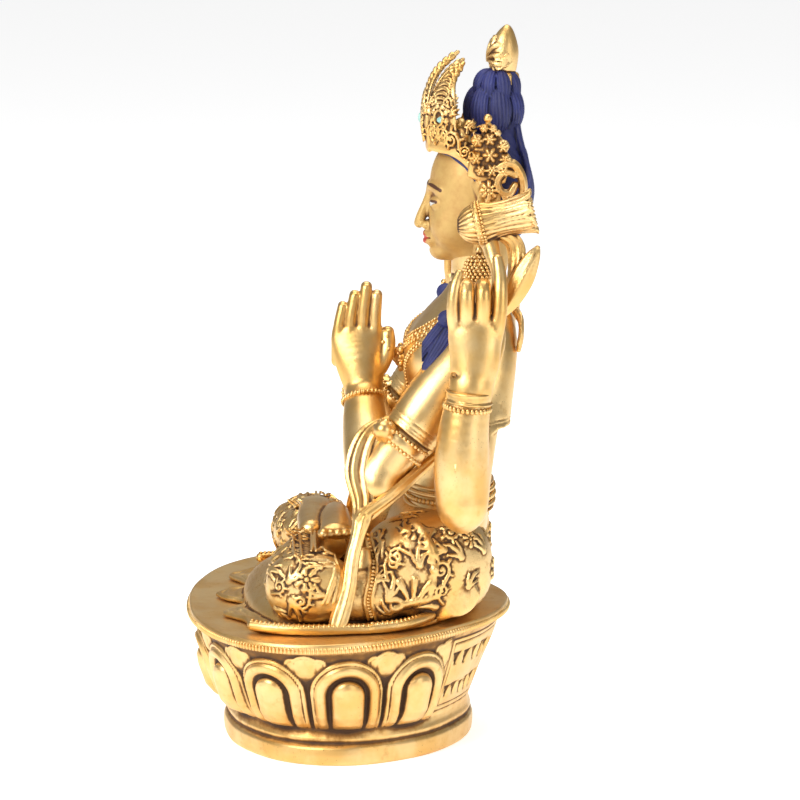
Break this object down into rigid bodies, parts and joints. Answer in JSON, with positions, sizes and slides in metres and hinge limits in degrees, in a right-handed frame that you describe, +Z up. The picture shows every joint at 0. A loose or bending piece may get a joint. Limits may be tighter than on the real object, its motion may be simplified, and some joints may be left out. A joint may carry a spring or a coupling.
{
  "type": "avalokiteshvara statue",
  "caption": "Gilt cast figure of a four-armed seated bodhisattva with joined hands, raised lotus and leafed crown, on a lotus-petal base.",
  "frame": {"origin": "on the underside of the base, under the middle of its plan", "axes": "+Z up, -Y the way the figure looks, +X its left side"},
  "size_m": [0.2095, 0.1628, 0.3297],
  "materials": {
    "gilt": "fire-gilt copper alloy, worn to brown in the recesses",
    "gilt_base": "gilt copper alloy, rubbed dull on top and dark between the petals",
    "turquoise": "pale polished stone",
    "coral": "polished coral"
  },
  "bodies": {
    "root": {"lotus_pedestal": "gilt_base", "figure": "gilt", "crown_turquoise_left": "turquoise", "crown_turquoise_front": "turquoise", "crown_turquoise_right": "turquoise", "armlet_turquoise_left": "turquoise", "armlet_turquoise_right": "turquoise", "necklace_coral": "coral"}
  },
  "joints": []
}
